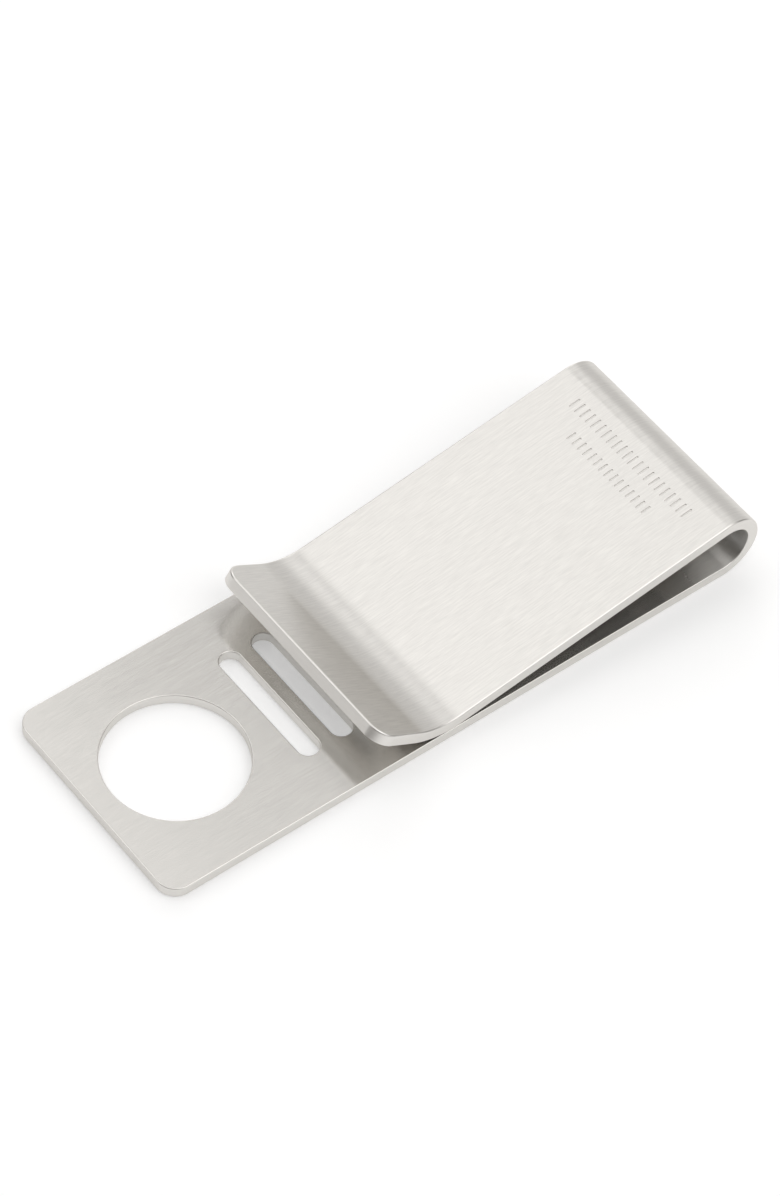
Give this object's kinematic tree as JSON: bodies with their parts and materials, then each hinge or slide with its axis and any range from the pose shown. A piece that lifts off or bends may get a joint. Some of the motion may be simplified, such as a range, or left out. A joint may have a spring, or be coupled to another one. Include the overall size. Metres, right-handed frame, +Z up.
{
  "type": "money clip",
  "caption": "Folded steel strip money clip: flat pierced back leaf, U-bend spring, sloping front leaf with a pinch bend and a turned-up lead-in lip.",
  "frame": {"origin": "middle of the outline, on the face that the clip rests on", "axes": "+X from the pierced end to the fold, +Y across the strip, +Z up from the resting face"},
  "size_m": [0.0542, 0.019, 0.0061],
  "materials": {
    "brushed_stainless": "satin, brushed lengthwise, edges rounded and brighter"
  },
  "bodies": {
    "clip_back": {"back_leaf": "brushed_stainless", "spring_bend": "brushed_stainless"},
    "clip_front": {"front_leaf": "brushed_stainless", "pinch_bend": "brushed_stainless", "lead_in_lip": "brushed_stainless"}
  },
  "joints": [
    {"name": "leaf_flex", "type": "hinge", "parent": "clip_back", "child": "clip_front", "pos_m": [0.02406, 0, 0.00304], "axis": [0, 1, 0], "range_deg": [0, 8], "stiffness_Nm_per_rad": 11.7, "deforming": ["spring_bend"]}
  ]
}
